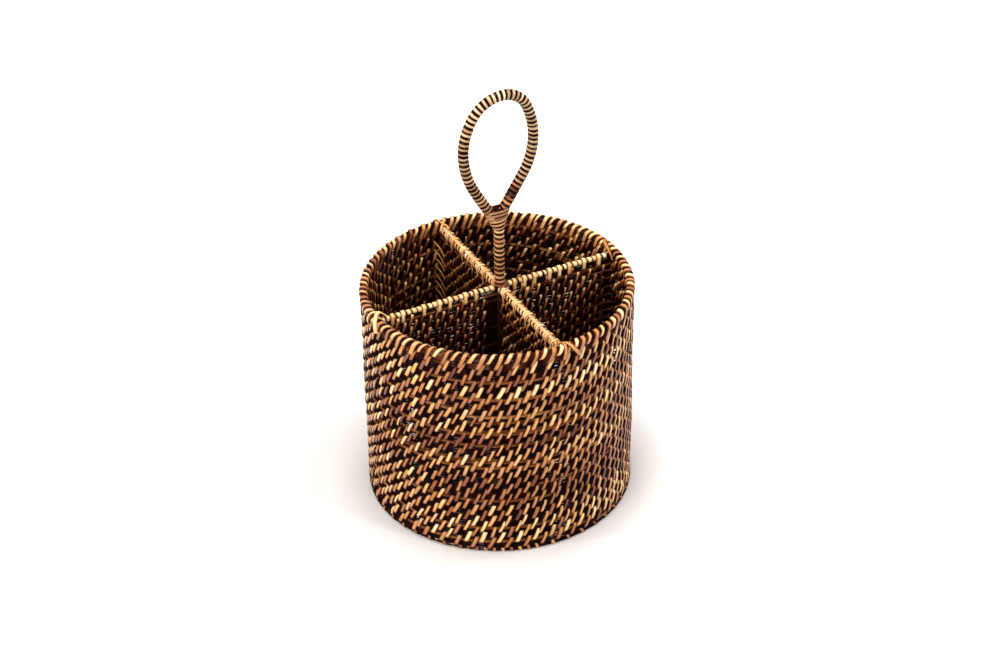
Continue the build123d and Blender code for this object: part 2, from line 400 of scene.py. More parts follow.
RUST = [(0.0, (0.003, 0.0005, 0.0003)), (0.35, (0.014, 0.0018, 0.0008)), (0.55, (0.05, 0.012, 0.004)),
        (0.8, (0.22, 0.075, 0.022)), (1.0, (0.40, 0.19, 0.07))]


def group_socket(group, name, way, value=None):
    """A named value that goes into a node group or comes out of it."""
    socket = group.interface.new_socket(name, in_out=way, socket_type="NodeSocketFloat")
    if value is not None:
        socket.default_value = value


def new_material(name):
    """A new material, its nodes and links, and its shader."""
    material = bpy.data.materials.new(name)
    material.use_nodes = True
    nodes = material.node_tree.nodes
    return material, nodes, material.node_tree.links, nodes["Principled BSDF"]


def ramp_node(nodes, links, value, stops):
    """Colour by tone."""
    ramp = nodes.new("ShaderNodeValToRGB")
    ramp.color_ramp.elements[0].position = stops[0][0]
    ramp.color_ramp.elements[0].color = (*stops[0][1], 1)
    ramp.color_ramp.elements[1].position = stops[-1][0]
    ramp.color_ramp.elements[1].color = (*stops[-1][1], 1)
    for place, colour in stops[1:-1]:
        ramp.color_ramp.elements.new(place).color = (*colour, 1)
    links.new(value, ramp.inputs["Fac"])
    return ramp.outputs["Color"]


def math_node(nodes, links, kind, *values):
    """A sum or the like, of numbers and other nodes' outputs."""
    node = nodes.new("ShaderNodeMath")
    node.operation = kind
    for socket, value in zip(node.inputs, values):
        if isinstance(value, (int, float)):
            socket.default_value = value
        else:
            links.new(value, socket)
    return node.outputs[0]


def range_node(nodes, links, value, low, high, first=0.0, last=1.0):
    """A value carried from its range, low to high, to another, first to last."""
    node = nodes.new("ShaderNodeMapRange")
    for name, limit in (("From Min", low), ("From Max", high), ("To Min", first), ("To Max", last)):
        node.inputs[name].default_value = limit
    links.new(value, node.inputs["Value"])
    return node.outputs["Result"]


def stored(nodes, name):
    """A value stored on the corners of a piece."""
    node = nodes.new("ShaderNodeAttribute")
    node.attribute_name = name
    return node.outputs["Fac"]


def grain_node(nodes, fibres):
    """The fibre group placed in a material: its tone shift and its edge mask."""
    node = nodes.new("ShaderNodeGroup")
    node.node_tree = fibres
    return node.outputs["Shift"], node.outputs["Edge"]


def raised(nodes, links, shader, height, strength, distance):
    """Fibres that stand up a little."""
    bump = nodes.new("ShaderNodeBump")
    bump.inputs["Strength"].default_value = strength
    bump.inputs["Distance"].default_value = distance
    links.new(height, bump.inputs["Height"])
    links.new(bump.outputs["Normal"], shader.inputs["Normal"])


def fibre_group():
    """Split-cane fibres along the flat coordinates: a tone shift and an edge mask."""
    group = bpy.data.node_groups.new("cane_fibres", "ShaderNodeTree")
    group_socket(group, "Fibre Scale", "INPUT", FIBRE_SCALE)
    group_socket(group, "Shift", "OUTPUT")
    group_socket(group, "Edge", "OUTPUT")
    nodes, links = group.nodes, group.links
    entry, leave = nodes.new("NodeGroupInput"), nodes.new("NodeGroupOutput")
    flat = nodes.new("ShaderNodeUVMap")
    flat.uv_map = "flat"
    stretch = nodes.new("ShaderNodeVectorMath")
    stretch.operation = "MULTIPLY"
    stretch.inputs[1].default_value = FIBRE_STRETCH
    noise = nodes.new("ShaderNodeTexNoise")
    noise.inputs["Detail"].default_value = FIBRE_DETAIL
    part = nodes.new("ShaderNodeSeparateXYZ")
    links.new(flat.outputs["UV"], stretch.inputs[0])
    links.new(stretch.outputs[0], noise.inputs["Vector"])
    links.new(entry.outputs["Fibre Scale"], noise.inputs["Scale"])
    links.new(noise.outputs["Fac"], leave.inputs["Shift"])
    links.new(flat.outputs["UV"], part.inputs[0])
    away = math_node(nodes, links, "SUBTRACT", part.outputs["Y"], 0.5)
    away = math_node(nodes, links, "ABSOLUTE", away)
    links.new(range_node(nodes, links, away, *EDGE_RANGE), leave.inputs["Edge"])
    return group


def split_cane(fibres, name, blushed):
    """Honey to brown split cane: tone by length of cane, fibres, dark edges that are partly stain and partly
    painted shade, satin varnish.
    """
    material, nodes, links, shader = new_material(name)
    shift, edge = grain_node(nodes, fibres)
    grain = math_node(nodes, links, "MULTIPLY_ADD", shift, CANE_GRAIN, -CANE_GRAIN / 2)
    level = math_node(nodes, links, "ADD", stored(nodes, "tone"), grain)
    # Darker edges: partly stain, partly painted shade.
    level = math_node(nodes, links, "SUBTRACT", level, math_node(nodes, links, "MULTIPLY", edge, CANE_EDGE_STAIN_AND_SHADE))
    blend = nodes.new("ShaderNodeMix")
    blend.data_type = "RGBA"
    links.new(stored(nodes, "blush"), blend.inputs[0])
    links.new(ramp_node(nodes, links, level, GOLD), blend.inputs[6])
    links.new(ramp_node(nodes, links, level, blushed), blend.inputs[7])
    links.new(blend.outputs[2], shader.inputs["Base Color"])
    rough = math_node(nodes, links, "MULTIPLY_ADD", shift, *CANE_ROUGHNESS)
    links.new(rough, shader.inputs["Roughness"])
    shader.inputs["Specular IOR Level"].default_value = CANE_SHINE
    raised(nodes, links, shader, shift, *CANE_BUMP)
    return material


def stained_core(fibres):
    """Dark stained core, dull but for short varnished patches; some lengths are rusty brown."""
    material, nodes, links, shader = new_material("stained_core")
    shift = grain_node(nodes, fibres)[0]
    grain = math_node(nodes, links, "MULTIPLY_ADD", shift, CORE_GRAIN, -CORE_GRAIN / 2)
    level = math_node(nodes, links, "ADD", stored(nodes, "tone"), grain)
    links.new(ramp_node(nodes, links, level, RUST), shader.inputs["Base Color"])
    rough = range_node(nodes, links, shift, *POLISH_RANGE, *POLISH_ROUGHNESS)
    links.new(rough, shader.inputs["Roughness"])
    varnish = range_node(nodes, links, shift, *VARNISH_RANGE, *VARNISH_WEIGHTS)
    links.new(varnish, shader.inputs["Coat Weight"])
    shader.inputs["Coat Roughness"].default_value = VARNISH_ROUGHNESS
    shader.inputs["Specular IOR Level"].default_value = CORE_SHINE
    raised(nodes, links, shader, shift, *CORE_BUMP)
    return material


fibres = fibre_group()
cane = split_cane(fibres, "split_cane", ROSE)
loop_cane = split_cane(fibres, "loop_cane", STRAW)
dark = stained_core(fibres)


# Wall: two split cores to a row, coiled, with shaved ends
def coil_strand(section_out, section_up, first_turn, last_turn):
    """A bare helix of an oval section by a Screw modifier: its faces, and for each corner its turn,
    its place in the section and its share of the way round that."""
    deselect()
    bpy.ops.mesh.primitive_circle_add(vertices=STRAND_SIDES, radius=1, location=(wall_radius, 0, 0),
                                      rotation=(math.pi / 2, 0, 0))
    piece = bpy.context.object
    piece.scale = (section_out, section_up, 1)
    bpy.ops.object.transform_apply(location=True, rotation=True, scale=True)
    turns = last_turn - first_turn
    places, faces = screwed(piece, "Z", 2 * math.pi * turns, pitch * turns, int(turns * STRAND_STEPS))
    count = len(places) // STRAND_SIDES
    course = first_turn + turns * (np.arange(len(places)) // STRAND_SIDES) / (count - 1)
    start = places[:STRAND_SIDES] - np.array([wall_radius, 0, 0])
    around = round_shares(STRAND_SIDES, count)
    faces = end_cap(faces, STRAND_SIDES, count)
    return faces, course, np.tile(start[:, 0], count), np.tile(start[:, 2], count), around


def end_cap(faces, section, count):
    """Close both ends of a tube."""
    first = tuple(range(section))
    last = tuple(range(section * (count - 1), section * count))
    return faces + [first, last]


def core_tones(course, high, share):
    """Mostly dark, with some rusty lengths, each a quarter of a turn or more."""
    steps = int(np.ptp(course) * CORE_LENGTHS_PER_TURN) + 2
    rusty = chance.random(steps) < share
    rusty_levels = chance.uniform(CORE_RUSTY, high, steps)
    dark_levels = chance.uniform(CORE_DARKEST, CORE_DARK, steps)
    levels = np.where(rusty, rusty_levels, dark_levels)
    stop = ((course - course.min()) / np.ptp(course) * (steps - 1)).astype(int)
    return levels[stop]


def wall_cores():
    """Two strands to a row, one over the other, that sway and swell a little and are shaved at the ends."""
    last = WALL_ROWS - SHAVED_TURN
    for side, shift in (("under", -pitch * CORE_SHIFT_SHARE), ("over", pitch * CORE_SHIFT_SHARE)):
        faces, course, out, up, around = coil_strand(core * CORE_FILL_SHARE, pitch * CORE_HALF_SHARE,
                                                     -SHAVED_TURN, WALL_ROWS)
        thin = np.clip(np.minimum(course + SHAVED_TURN, WALL_ROWS - course) / SHAVED_TURN, SHAVED_SHARE, 1)
        level = np.where(course > last, WALL_ROWS - 1, np.where(course < 0, 0, rise(course)))
        lean = np.where(course > last, 1, np.where(course < 0, -1, 0)) * (1 - thin) * pitch / 2
        sway = waves(course, shift, STRAND_SWAY)
        height = first_row + pitch * level + lean + shift * thin + up * thin + sway
        swell = 1 + waves(course, shift, STRAND_SWELL)
        places = on_wall(course, out * (1 + thin) / 2 * swell, 0, height)
        tone = core_tones(course, WALL_RUSTIEST, RUSTY_SHARES[side])
        mottle = TOP_ROW_TONE + TOP_ROW_MOTTLE * np.sin(course * TOP_ROW_PATCHES)
        tone = np.where(course > WALL_ROWS - TOP_ROW_TURNS, mottle, tone)
        flat = np.stack([course * STRAND_GRAIN, around], axis=1)
        nodes = ["wall_coil_lower", "wall_coil_middle", "wall_coil_upper"] if side == "under" else []
        finished(f"wall_cores_{side}", places, faces, tone, flat, dark, nodes)


def wall_lashing():
    """Slanted straps, one after another along the coil, each round its own row and the row below."""
    master = strap_master(core / 2, pitch)
    count = int((WALL_ROWS - 1) * LASHES_PER_TURN)
    courses = 1 + np.arange(count) / LASHES_PER_TURN + chance.normal(0, STITCH_JITTER, count)
    tones = strand_tones(count, *WALL_TONES)
    widths = np.clip(by_length(count, *WALL_WIDTHS), *WALL_WIDTH_LIMITS)
    leads = lead * varied(count, *WALL_SLANTS)
    for band in range(WALL_BANDS):
        pick = slice(band * count // WALL_BANDS, (band + 1) * count // WALL_BANDS)
        course = courses[pick]

        def frames(out, across, up):
            height = first_row + pitch * rise(course - 1)[:, None] + tucked(up, pitch)
            return on_wall(course[:, None], out, across, height)

        # Painted shade inside the wall, stronger towards the floor.
        depth = 1 - rise(course - 1) / WALL_ROWS
        lash(f"wall_lashing_{band + 1}", master, frames, tones[pick], widths[pick], leads[pick],
             inside_shade=INNER_PAINTED_SHADE + DEEPER_PAINTED_SHADE * depth)


# Floor: a flat spiral, pressed flat underneath
def on_floor(radius, angle, across, rise_up):
    """Place on the floor, which reaches out under the wall; its underside is pressed to the ground."""
    middle = core / 2 - FLOOR_SINK
    reach = core / 2 + CANE_THICK
    height = middle + np.where(rise_up < 0, rise_up * middle / reach, rise_up)
    turn = angle + across / np.maximum(radius, FLOOR_TIGHTEST)
    return np.stack([radius * np.cos(turn), radius * np.sin(turn), height], axis=-1)


def floor_coil():
    """A flat spiral from the eye out to the wall, and one more turn under the wall."""
    spacing = core * FLOOR_SPACING_SHARE
    turns = (wall_radius - FLOOR_EYE) / spacing + 1

    def middle_line(course):
        return np.minimum(FLOOR_EYE + spacing * course, wall_radius), FLOOR_START + 2 * math.pi * course

    faces, course, side, up, around = coil_strand(spacing * FLOOR_HALF_SHARE, core * CORE_FILL_SHARE,
                                                  0, turns)
    radius, angle = middle_line(course)
    places = on_floor(radius + side, angle, 0, up)
    flat = np.stack([course * FLOOR_GRAIN, around], axis=1)
    tone = core_tones(course, FLOOR_RUSTIEST, FLOOR_RUSTY_SHARE)
    finished("floor_cores", places, faces, tone, flat, dark, ["floor_coil"])
    master = strap_master(core / 2, spacing)
    stops = []
    here = FLOOR_FIRST_STITCH
    while here < turns:
        stops.append(here)
        here += lead / (2 * math.pi * middle_line(here)[0])
    radius, angle = middle_line(np.array(stops)[:, None])

    def frames(out, across, up):
        return on_floor(radius - spacing + up, angle, across, out)

    count = len(stops)
    lash("floor_lashing", master, frames, strand_tones(count, *FLOOR_TONES), varied(count, *FLOOR_WIDTHS),
         np.full(count, lead * FLOOR_SLANT_SHARE))


# Dividers: straight rows between post and wall
def rail_radius(side):
    """Radius under the band: the bare rod of a cross rail, or all that the winding of a main rail holds."""
    low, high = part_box(f"rail_{side}" if side in ("left", "right") else f"rail_wrap_{side}")
    return (high.z - low.z) / 2 - (0 if side in ("left", "right") else CANE_THICK)


def rail_middle(side):
    """Height of a rail's middle line: its band of cane reaches as high as the wound solid does."""
    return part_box(f"rail_wrap_{side}")[1].z - rail_radius(side) - CANE_THICK


def panel_box(side):
    """Where a divider panel lies: which way it runs, its ends, its middle plane and its rows."""
    low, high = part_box(f"divider_cores_{side}")
    axis = 0 if high.x - low.x > high.y - low.y else 1
    under_rail = rail_middle(side) - rail_radius(side) - CANE_THICK
    rows = np.linspace(low.z + core / 2, under_rail - core / 2, PANEL_ROWS)
    return axis, low[axis], high[axis], (low[1 - axis] + high[1 - axis]) / 2, rows


def on_panel(axis, middle, out, along, height):
    """Place on a panel: along it, out from its middle plane, up from the ground."""
    if axis == 0:
        return np.stack(np.broadcast_arrays(along, middle - out, height), axis=-1)
    return np.stack(np.broadcast_arrays(middle + out, along, height), axis=-1)


def divider(side):
    """A panel: two strands to a row, straight, and slanted stitches over each row and the next."""
    axis, start, end, middle, rows = panel_box(side)
    step = rows[1] - rows[0]
    rod_places, rod_faces = straight_rod(STRAND_SIDES, PANEL_RINGS, end - start)
    ring = np.arange(STRAND_SIDES * PANEL_RINGS) // STRAND_SIDES / (PANEL_RINGS - 1)
    around = round_shares(STRAND_SIDES, PANEL_RINGS)
    all_places, tones, flats = [], [], []
    count = 0
    for height in rows:
        for shift in (-CORE_SHIFT_SHARE, CORE_SHIFT_SHARE):
            along = start + rod_places[:, 0]
            out = rod_places[:, 1] * core * CORE_FILL_SHARE + waves(ring, height, PANEL_SWAY)
            up = height + shift * step + rod_places[:, 2] * step * CORE_HALF_SHARE
            all_places.append(on_panel(axis, middle, out, along, up))
            dark_length = chance.random() > PANEL_RUSTY_SHARE
            tones.append(np.full(len(along), chance.uniform(*(PANEL_DARK if dark_length else PANEL_RUST))))
            flats.append(np.stack([ring * PANEL_GRAIN + count, around], axis=1))
            count += 1
    finished(f"divider_{side}_cores", np.concatenate(all_places), copies((rod_places, rod_faces), count),
             np.concatenate(tones), np.concatenate(flats), dark, [f"divider_cores_{side}"])
    spacing = lead * PANEL_SPACING_SHARE
    master = strap_master(core / 2, step)
    per_row = int((end - start) / spacing)
    row = np.repeat(np.arange(PANEL_ROWS - 1), per_row)
    number = np.tile(np.arange(per_row), PANEL_ROWS - 1) + PANEL_FIRST_SHARE + row % 2 / 2
    place = start + spacing * number + chance.normal(0, PANEL_JITTER, len(row))
    keep = (place > start + PANEL_MARGIN) & (place < end - PANEL_MARGIN)
    row, place = row[keep], place[keep]

    def frames(out, across, up):
        return on_panel(axis, middle, out, place[:, None] + across, rows[row][:, None] + tucked(up, step))

    # Painted shade: the panel's stitches darker the lower they lie.
    tones = strand_tones(len(place), *PANEL_TONES[side]) - PANEL_DEPTH_SHADE * (1 - row / PANEL_ROWS)
    lash(f"divider_{side}_lashing", master, frames, tones, varied(len(place), *PANEL_WIDTHS),
         np.full(len(place), lead * PANEL_SLANT_SHARE), painted_light=PANEL_TOP_PAINTED_LIGHT, inside_shade=0.0)


# Rods and wound bands, made straight along X and then led along a path
def straight_rod(section, rings, length):
    """A capped tube of unit radius along X."""
    deselect()
    bpy.ops.mesh.primitive_circle_add(vertices=section, radius=1, rotation=(0, math.pi / 2, 0))
    piece = bpy.context.object
    bpy.ops.object.transform_apply(rotation=True)
    places, faces = screwed(piece, "X", 0, length, rings - 1)
    return places, end_cap(faces, section, rings)


ROD_SIDES = 10
ROD_STEP = 2.5 * MM
ROD_RINGS = 12
ROD_GRAIN = 8 * MM
SQUARE_SHARE = 0.75
BAND_STEPS = 16
BAND_SWAY = 0.12 * MM
BAND_SWAY_RATE = 2.3
BAND_SWELL = 0.14
BAND_SPREAD = 0.08
BAND_BLUSH = 0.25
BAND_GRAIN = 1.7
BAND_SECTION = [(-0.5, 0.0), (-0.46, 0.6), (-0.2, 1.0), (0.2, 1.0), (0.46, 0.6), (0.5, 0.0)]


def wound_band(radius, spacing, width, turns, steps=BAND_STEPS):
    """A flat band wound round X: places, faces, the turn of each corner and its place across the band."""
    deselect()
    bpy.ops.mesh.primitive_circle_add(vertices=len(BAND_SECTION), radius=1)
    piece = bpy.context.object
    for corner, (across, lift) in zip(piece.data.vertices, BAND_SECTION):
        corner.co = (across * width, radius + lift * CANE_THICK, 0)
    places, faces = screwed(piece, "X", 2 * math.pi * turns, spacing * turns, int(turns * steps))
    section = len(BAND_SECTION)
    rings = len(places) // section
    turn = turns * (np.arange(len(places)) // section) / (rings - 1)
    across = np.tile([a + 0.5 for a, lift in BAND_SECTION], rings)
    return places, end_cap(faces, section, rings), turn, across


def straight_path(start, end):
    """Path along a straight rail: a place on it, the upward and the sideways direction."""
    start, end = np.array(start), np.array(end)
    way = (end - start) / np.linalg.norm(end - start)
    up = np.array([0, 0, 1.0])
    side = np.cross(way, up)

    def path(s):
        return start + s[:, None] * way, np.tile(up, (len(s), 1)), np.tile(side, (len(s), 1))

    return path, np.linalg.norm(end - start)


def led(path, places):
    """Lead straight places along a path."""
    point, normal, side = path(places[:, 0])
    return point + normal * places[:, 1:2] + side * places[:, 2:3]


def rod_piece(name, path, start, end, radius, tone, replaced):
    """A stained rod along a path; its radius and tone may change along it."""
    rings = max(ROD_RINGS, int((end - start) / ROD_STEP))
    places, faces = straight_rod(ROD_SIDES, rings, end - start)
    along = start + places[:, 0]
    thick = radius(along) if callable(radius) else radius
    straight = np.stack([along, places[:, 1] * thick, places[:, 2] * thick], axis=1)
    flat = np.stack([places[:, 0] / ROD_GRAIN, round_shares(ROD_SIDES, rings)], axis=1)
    level = tone(along) if callable(tone) else np.full(len(places), tone)
    return finished(name, led(path, straight), faces, level, flat, dark, replaced)


def band_piece(name, path, start, end, radius, spacing, width, look, replaced, square_at,
               blush=BAND_BLUSH, material=cane):
    """A band wound round a path; at the angle square_at its turns lie nearly square to the path."""
    turns = round((end - start) / spacing)
    places, faces, turn, across = wound_band(radius, (end - start) / turns, width, turns)
    angle = np.arctan2(places[:, 2], places[:, 1])
    hand = np.sign(angle[len(BAND_SECTION)])
    places[:, 0] -= SQUARE_SHARE * hand * spacing / (2 * math.pi) * np.sin(angle - square_at)
    places[:, 0] += start + BAND_SWAY * np.sin(turn * BAND_SWAY_RATE)
    stops = np.arange(turns + 2)
    swell = np.interp(turn, stops, chance.normal(0, BAND_SWELL, turns + 2))
    places[:, 0] += (across - 0.5) * width * swell
    tones = look(np.linspace(0, 1, turns + 2)) + chance.normal(0, BAND_SPREAD, turns + 2)
    tone = np.interp(turn, stops, np.clip(tones, 0, 1))
    flat = np.stack([turn * BAND_GRAIN, across], axis=1)
    rosy = blush(turn / turns) if callable(blush) else blush
    return finished(name, led(path, places), faces, tone, flat, material, replaced, rosy)


# Rails: spacing and width of each band, and the angle at which its turns lie square
RAIL_BANDS = {"right": (3.75 * MM, 3.15 * MM, math.radians(50)),
              "left": (3.75 * MM, 3.15 * MM, math.radians(-50)),
              "back": (3.8 * MM, 2.9 * MM, math.radians(-31)),
              "front": (3.8 * MM, 2.9 * MM, math.radians(31))}
BAND_START = 0.6 * MM
RAIL_ROD_TONE = 0.1
CROSS_RAIL_TONE = 0.92
MAIN_RAIL_TONES = (0.85, 0.7)
RUNNER_SIDES = 6
RUNNER_RINGS = 24
RUNNER_LIFT = 0.2 * MM
RUNNER_HALF_THICK = 0.3 * MM
RUNNER_HALF_WIDTH = 1.4 * MM
RUNNER_GRAIN = 6 * MM
RUNNER_TONE = 0.8
RUNNER_BLUSH = 0.4
LEG_FOOT_CLEAR = 0.1 * MM
LEG_TOP_CLEAR = 0.35 * MM
LEG_EVERY = (2, 5)
LEG_TONES = ((0.82, 0.05, 0, 1), (0.78, 0.05, 0, 1))
LEG_WIDTHS = ((1.1, 0.06), (0.9, 0.06))
LEG_SLANT_SHARE = 0.2
LEG_TAPER = 0.5


def rails():
    """Each rail: a stained rod, a wound band, and turns of the band that reach down over the panel."""
    for side, (spacing, width, square_at) in RAIL_BANDS.items():
        low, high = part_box(f"rail_{side}")
        radius = rail_radius(side)
        axis = 0 if side in ("left", "right") else 1
        start, end = (low + high) / 2, (low + high) / 2
        start.z = end.z = rail_middle(side)
        ends = (low[axis], high[axis])
        start[axis], end[axis] = ends if side in ("right", "back") else ends[::-1]
        path, length = straight_path(start, end)
        rod_piece(f"rail_{side}_rod", path, 0, length, radius, RAIL_ROD_TONE, [f"rail_{side}"])
        band_piece(f"rail_{side}_band", path, BAND_START, length - BAND_START, radius, spacing, width,
                   cross_rail_look if axis == 0 else main_rail_look, [f"rail_wrap_{side}"], square_at)
        if axis == 1:
            runner(side, path, length, radius, square_at / 2)
        rail_legs(side, start[axis], length, spacing)


def cross_rail_look(share):
    """The same pale tone all along."""
    return np.full(len(share), CROSS_RAIL_TONE)


def main_rail_look(share):
    """A little darker towards the wall."""
    return np.interp(share, [0, 1], MAIN_RAIL_TONES)


def runner(side, path, length, radius, turn):
    """Strip of cane laid along a main rail under the band, a little to one side of its top."""
    places, faces = straight_rod(RUNNER_SIDES, RUNNER_RINGS, length)
    lift = radius + RUNNER_LIFT + places[:, 1] * RUNNER_HALF_THICK
    across = places[:, 2] * RUNNER_HALF_WIDTH
    straight = np.stack([places[:, 0], lift * math.cos(turn) - across * math.sin(turn),
                         lift * math.sin(turn) + across * math.cos(turn)], axis=1)
    flat = np.stack([places[:, 0] / RUNNER_GRAIN, places[:, 2] / 2 + 0.5], axis=1)
    tone = np.full(len(places), RUNNER_TONE)
    finished(f"rail_{side}_runner", led(path, straight), faces, tone, flat, cane, (), RUNNER_BLUSH)


def rail_legs(side, rail_start, length, spacing):
    """Turns of the band that reach down over the top of the panel, narrower at the foot."""
    axis, _, _, middle, rows = panel_box(side)
    foot_row = rows[-1]
    master = strap_master(core / 2 + LEG_FOOT_CLEAR, rail_middle(side) - foot_row,
                          rail_radius(side) + LEG_TOP_CLEAR)
    turns = round((length - 2 * BAND_START) / spacing)
    number = np.cumsum(chance.integers(*LEG_EVERY, turns // 2))
    number = number[number < turns - 1]
    step = (length - 2 * BAND_START) / turns
    away = 1 if side in ("right", "back") else -1
    place = rail_start + away * (BAND_START + step * number)
    count = len(place)

    def frames(out, across, up):
        return on_panel(axis, middle, out, place[:, None] + across, foot_row + up)

    tones = varied(count, *LEG_TONES[axis])
    widths = chance.normal(*LEG_WIDTHS[axis], count)
    leads = np.full(count, lead * LEG_SLANT_SHARE)
    lash(f"rail_{side}_legs", master, frames, tones, widths, leads, taper=LEG_TAPER)


# Handle: the path of post and loop, as places x + iz in the plane of the cross divider
PATH_STEPS = 40
BEND_STEPS = 20
STRAIGHT_ENOUGH = 1e-6


def arc_places(start, way, end, steps):
    """Places along the arc that leaves start in the direction way and meets end."""
    chord = end - start
    half = np.angle(chord / way)
    share = np.linspace(0, 1, steps)
    if abs(half) < STRAIGHT_ENOUGH:
        return start + chord * share
    return start + way * np.exp(1j * half * share) * abs(chord) * np.sin(half * share) / math.sin(half)


def biarc_places(start, way, end, end_way):
    """Places along two arcs that meet smoothly, between two ends with given directions."""
    across = end - start
    dot = (way * end_way.conjugate()).real
    along = (across * (way + end_way).conjugate()).real
    reach = (math.sqrt(along**2 + 2 * (1 - dot) * abs(across)**2) - along) / (2 * (1 - dot))
    middle = (start + end + (way - end_way) * reach) / 2
    middle_way = end - end_way * reach - start - way * reach
    middle_way /= abs(middle_way)
    return np.concatenate([arc_places(start, way, middle, PATH_STEPS)[:-1],
                           arc_places(middle, middle_way, end, PATH_STEPS)])


def handle_path():
    """Path along the post and round the loop, and the lengths at which the straight post and the bend end."""
    low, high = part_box("handle_rod")
    foot = low.z
    top = high.z - (high.y - low.y) / 2
    loop_rise = cad_box[1][2] - POST_STRAIGHT
    lean = complex(-math.sin(NECK_LEAN), math.cos(NECK_LEAN))
    stops = [complex(post_x, foot), complex(post_x, POST_STRAIGHT)]
    stops.append(complex(post_x + NECK_BEND * (math.cos(NECK_LEAN) - 1),
                         POST_STRAIGHT + NECK_BEND * math.sin(NECK_LEAN)))
    stops.append(complex(post_x - LOOP_LEFT, POST_STRAIGHT + loop_rise * LOOP_LEFT_SHARE))
    stops.append(complex(post_x + LOOP_TOP, top))
    stops.append(complex(post_x + LOOP_RIGHT, POST_STRAIGHT + loop_rise * LOOP_RIGHT_SHARE))
    stops.append(complex(post_x + LOOP_END, POST_STRAIGHT + LOOP_END_RISE))
    ways = [1j, 1j, lean, 1j, 1, -1j, complex(-math.sin(NECK_LEAN), -math.cos(NECK_LEAN))]
    lines = [np.linspace(stops[0], stops[1], PATH_STEPS)[:-1],
             arc_places(stops[1], ways[1], stops[2], BEND_STEPS)[:-1]]
    for i in range(2, len(stops) - 1):
        lines.append(biarc_places(stops[i], complex(ways[i]), stops[i + 1], complex(ways[i + 1]))[:-1])
    line = np.concatenate(lines + [np.array([stops[-1]])])
    travel = np.concatenate([[0], np.cumsum(np.abs(np.diff(line)))])
    ways = np.gradient(line, travel)
    ways /= np.abs(ways)

    def path(s):
        x, z = np.interp(s, travel, line.real), np.interp(s, travel, line.imag)
        way_x, way_z = np.interp(s, travel, ways.real), np.interp(s, travel, ways.imag)
        nothing = np.zeros(len(s))
        normal = np.stack([-way_z, nothing, way_x], axis=1)
        return np.stack([x, nothing, z], axis=1), normal, np.tile([0, 1.0, 0], (len(s), 1))

    straight = POST_STRAIGHT - foot
    return path, travel[-1], straight, straight + NECK_BEND * NECK_LEAN


# Tone and blush at shares of the loop's length
LOOP_TONES = [(0.0, 0.8), (0.03, 0.8), (0.045, 0.5), (0.1, 0.5), (0.2, 0.54), (0.3, 0.6),
              (0.42, 0.71), (0.5, 0.76), (0.6, 0.65), (0.75, 0.55), (0.86, 0.64), (0.89, 0.64),
              (0.9, 0.16), (0.93, 0.16), (0.94, 0.66), (0.96, 0.62), (0.97, 0.16), (1.0, 0.16)]
LOOP_BLUSHES = [(0.0, 0.4), (0.12, 0.6), (0.25, 0.95), (0.35, 0.6), (0.45, 0.75), (0.55, 1),
                (0.7, 1), (0.8, 0.8), (0.88, 0.75), (0.9, 0.0)]
POST_TONES = (0.66, 0.78)


def loop_look(share):
    """Tone along the loop: pale at the neck, tan, gold over the top, and two dark red patches by the end."""
    return np.interp(share, *np.array(LOOP_TONES).T)


def loop_blush(share):
    """Straw on both limbs, more golden over the top and low on the right."""
    return np.interp(share, *np.array(LOOP_BLUSHES).T)


def post_look(share):
    """A little paler towards the neck."""
    return np.interp(share, [0, 1], POST_TONES)


CORE_FULLER = 0.3 * MM
LOOP_FULLER = 0.25 * MM
POST_CORE_TONE = 0.5
LOOP_CORE_TONE = 0.12
POST_SPACING = 3.36 * MM
POST_WIDTH = 2.1 * MM
POST_PAST = 1 * MM
POST_BLUSH = 0.3
POST_SQUARE = math.radians(-63)
LOOP_SPACING = 3.2 * MM
LOOP_WIDTH = 1.98 * MM
LOOP_BEFORE = 2 * MM
LOOP_SHORT = 1 * MM
LOOP_SQUARE = math.radians(-80)


def handle():
    """The rod of post and loop, the bands wound round them, and the neck."""
    path, length, straight, bent = handle_path()
    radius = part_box("post_wrap")[1].y - CANE_THICK
    above_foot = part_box("rail_wrap_front")[1].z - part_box("handle_rod")[0].z

    def core_radius(s):
        return radius + CORE_FULLER + np.where(s < bent, 0, LOOP_FULLER)

    def core_tone(s):
        return np.where(s < straight, POST_CORE_TONE, LOOP_CORE_TONE)

    rod_piece("handle_core", path, 0, length, core_radius, core_tone, ["handle_rod"])
    band_piece("post_band", path, above_foot, straight + POST_PAST, radius, POST_SPACING, POST_WIDTH,
               post_look, ["post_wrap"], POST_SQUARE, POST_BLUSH)
    band_piece("loop_band", path, bent - LOOP_BEFORE, length - LOOP_SHORT, radius + LOOP_FULLER, LOOP_SPACING,
               LOOP_WIDTH, loop_look,
               ["loop_wrap_left_low", "loop_wrap_left_high", "loop_wrap_right_high", "loop_wrap_right_low"],
               LOOP_SQUARE, loop_blush, loop_cane)
    neck(radius)


NECK_HALF_WIDTH = 9.2 * MM
NECK_HALF_DEPTH = 4.0 * MM
NECK_SHIFT = 1.5 * MM
NECK_STEPS = 28
NECK_UNIT = 1.0 * MM
NECK_GRAIN = 2
NECK_MOTTLE = 0.08
NECK_MOTTLE_RATE = 5.1
NECK_CORE_SIDES = 20
NECK_CORE_RINGS = 12
NECK_CORE_GRAIN = 3
NECK_CORE_TONE = 0.1
PLUG_LEFT = 7 * MM
PLUG_RIGHT = 5 * MM
PLUG_DROP = 0.6 * MM
PLUG_RADIUS = 2.9 * MM
PLUG_TONE = 0.4
# Each band of the neck: where it starts and ends, spacing, width, lean, tone and blush
NECK_TURNS = (0.0, 0.55, 2.9 * MM, 1.9 * MM, 0.0, 0.7, 0.5)
NECK_WRAPS = (0.5, 1.0, 2.5 * MM, 2.25 * MM, -0.06, 0.52, 0.8)


